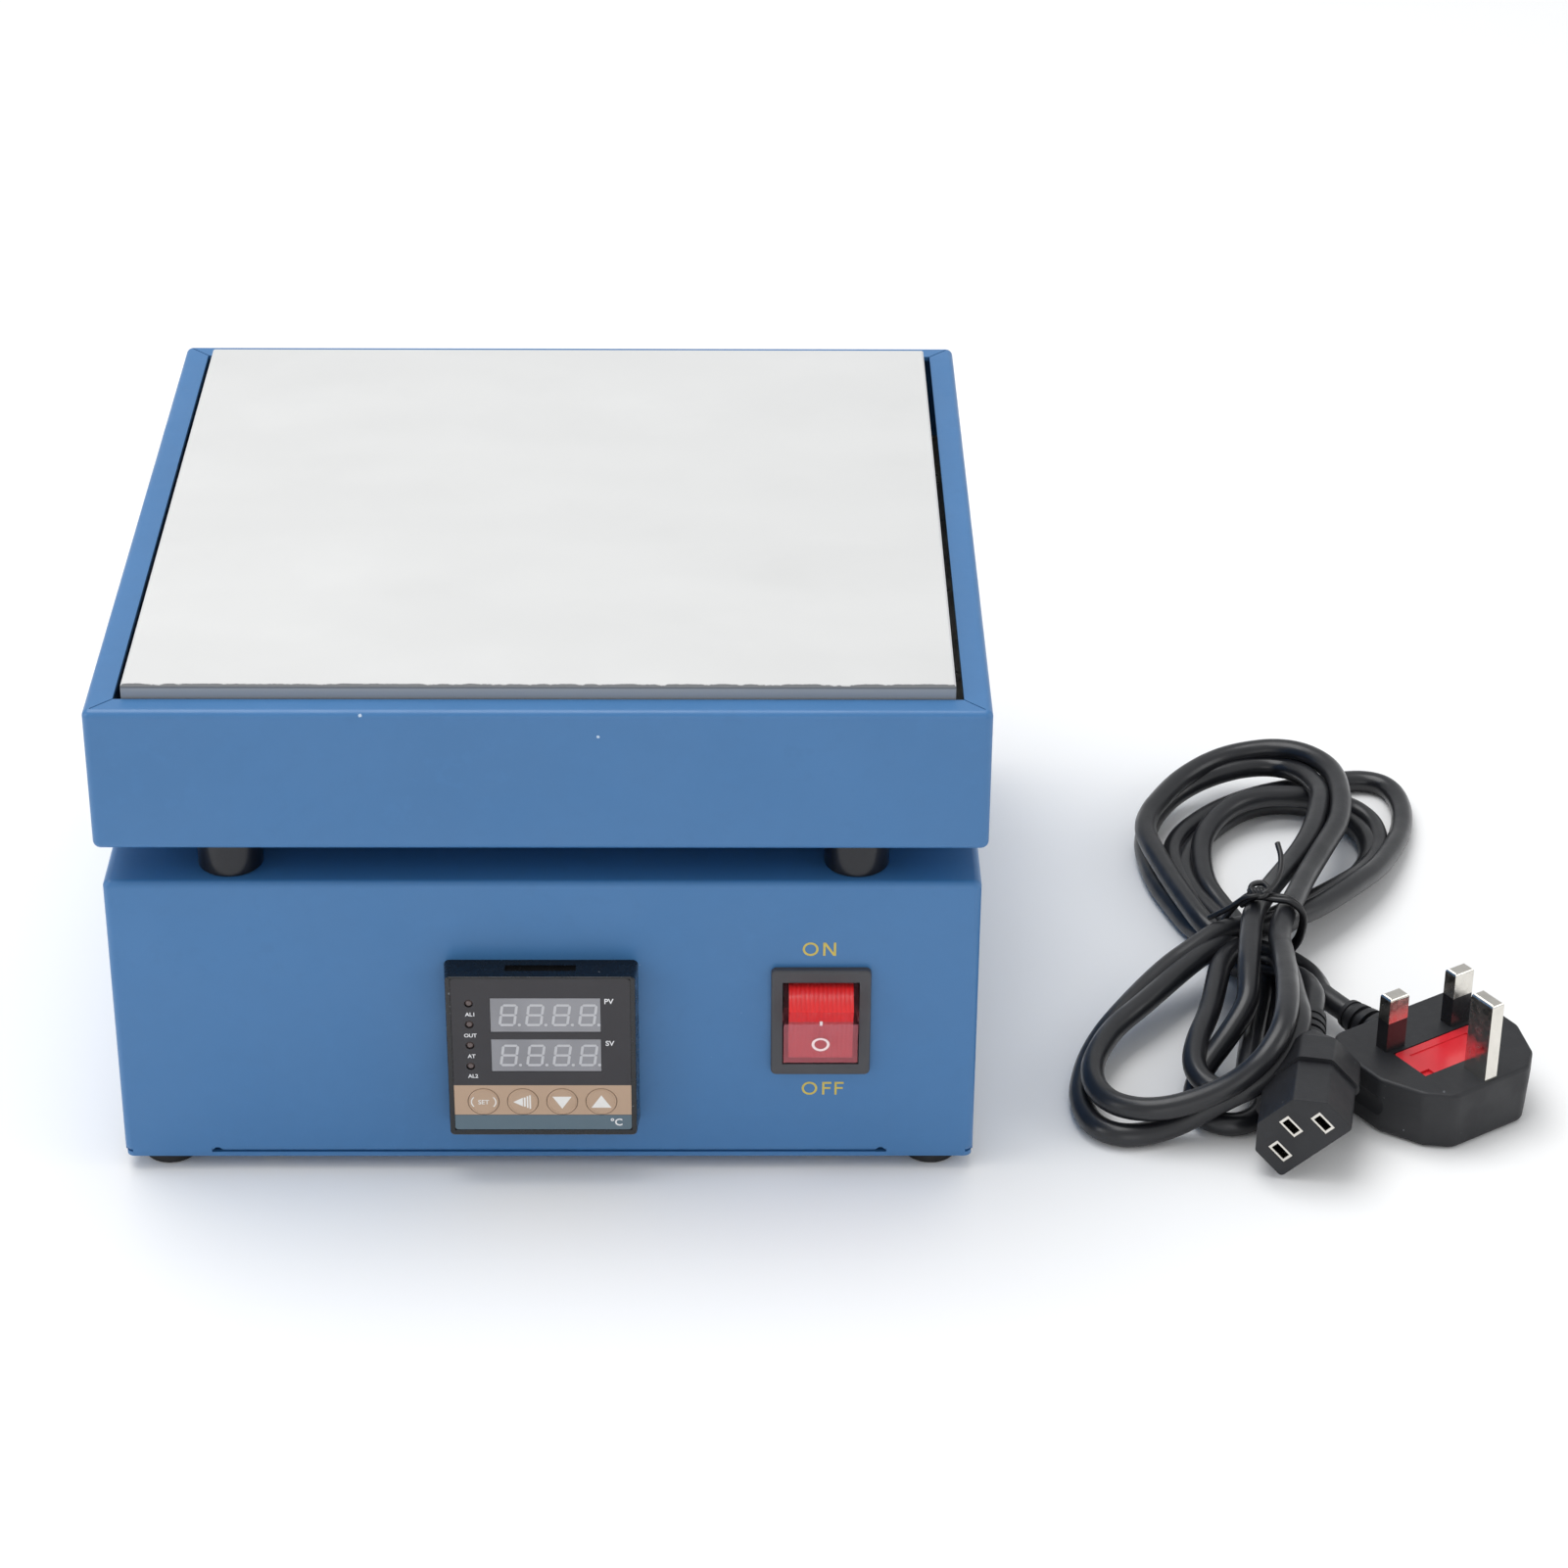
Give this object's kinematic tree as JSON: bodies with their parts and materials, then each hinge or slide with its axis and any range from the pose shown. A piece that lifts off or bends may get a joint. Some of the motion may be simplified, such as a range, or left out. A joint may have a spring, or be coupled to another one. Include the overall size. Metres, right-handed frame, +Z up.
{
  "type": "laboratory hot plate",
  "caption": "Benchtop hot plate: flat square heating plate over a blue steel cabinet with a temperature controller, a rocker switch and a separate mains lead.",
  "frame": {"origin": "on the floor below the middle of the cabinet with its controls and inlet", "axes": "+Z up, -Y out of the control panel, +X to the right as seen from the front"},
  "size_m": [0.3628, 0.2279, 0.1366],
  "materials": {
    "plate_metal": "fine milled, satin",
    "blue_paint": "fine textured powder coat",
    "black_metal": "semi-gloss black finish",
    "zinc_steel": "zinc plated",
    "foot_rubber": "moulded, matte",
    "bezel_plastic": "smooth gloss",
    "facia_film": "printed film",
    "window_tint": "tinted, glossy",
    "display_parts": "moulded",
    "lamp_tint": "tinted, unlit",
    "key_film": "embossed film",
    "case_plastic": "moulded, matte",
    "rocker_red": "coloured insert",
    "rocker_clear": "clear moulding",
    "circuit_board": "printed circuit board",
    "insulation": "pressed fibre board",
    "contact_metal": "plated",
    "pin_nickel": "bright nickel plate",
    "sleeving": "woven sleeving",
    "cord_sheath": "satin extruded sheath",
    "lead_plastic": "overmoulded, fine texture",
    "carrier_red": "moulded, satin",
    "fuse_ceramic": "glazed ceramic tube"
  },
  "bodies": {
    "stand": {"heating_plate": "plate_metal", "heater_cartridges": "zinc_steel", "thermocouple_probe": "zinc_steel", "plate_pillars": "zinc_steel", "plate_screws": "zinc_steel", "insulation_board": "insulation", "upper_cover": "blue_paint", "cover_tray": "zinc_steel", "standoffs": "black_metal", "standoff_screws": "zinc_steel", "standoff_nuts": "zinc_steel", "base_shell": "blue_paint", "base_plate": "blue_paint", "base_screws": "zinc_steel", "feet": "foot_rubber", "foot_studs": "zinc_steel", "deck_grommet": "foot_rubber", "relay_module": "case_plastic", "terminal_block": "case_plastic", "earth_stud": "contact_metal", "heater_leads": "sleeving", "sensor_lead": "sleeving", "base_wires": "sleeving", "controller_bezel": "bezel_plastic", "controller_facia": "facia_film", "display_windows": "window_tint", "display_module": "display_parts", "indicator_lamps": "lamp_tint", "key_switches": "display_parts", "display_board": "circuit_board", "controller_board": "circuit_board", "controller_case": "case_plastic", "controller_terminals": "case_plastic", "terminal_screws": "contact_metal", "controller_clamp": "case_plastic", "clamp_screws": "zinc_steel", "switch_body": "case_plastic", "switch_terminals": "contact_metal", "inlet_body": "case_plastic", "inlet_pins": "contact_metal", "inlet_screws": "zinc_steel", "connector_body": "lead_plastic", "connector_contacts": "pin_nickel", "plug_body": "lead_plastic", "plug_pins": "pin_nickel", "pin_sleeves": "case_plastic", "lead_bundle": "cord_sheath", "lead_tie": "case_plastic", "lead_tail_connector": "cord_sheath", "lead_tail_plug": "cord_sheath"},
    "rocker": {"rocker_core": "rocker_red", "rocker_lens": "rocker_clear"},
    "set_key": {"key_set": "key_film"},
    "shift_key": {"key_shift": "key_film"},
    "down_key": {"key_down": "key_film"},
    "up_key": {"key_up": "key_film"},
    "carrier": {"fuse_carrier": "carrier_red", "fuse": "fuse_ceramic"}
  },
  "joints": [
    {"name": "switch_rocker", "type": "hinge", "parent": "stand", "child": "rocker", "pos_m": [0.0684, -0.10403, 0.0454], "axis": [-1, 0, 0], "range_deg": [0, 40]},
    {"name": "set_press", "type": "slide", "parent": "stand", "child": "set_key", "axis": [0, 1, 0], "range_m": [0, 0.0005], "stiffness_N_per_m": 1500},
    {"name": "shift_press", "type": "slide", "parent": "stand", "child": "shift_key", "axis": [0, 1, 0], "range_m": [0, 0.0005], "stiffness_N_per_m": 1500},
    {"name": "down_press", "type": "slide", "parent": "stand", "child": "down_key", "axis": [0, 1, 0], "range_m": [0, 0.0005], "stiffness_N_per_m": 1500},
    {"name": "up_press", "type": "slide", "parent": "stand", "child": "up_key", "axis": [0, 1, 0], "range_m": [0, 0.0005], "stiffness_N_per_m": 1500},
    {"name": "fuse_carrier_pull", "type": "slide", "parent": "stand", "child": "carrier", "axis": [0, 0, 1], "range_m": [0, 0.01]}
  ]
}
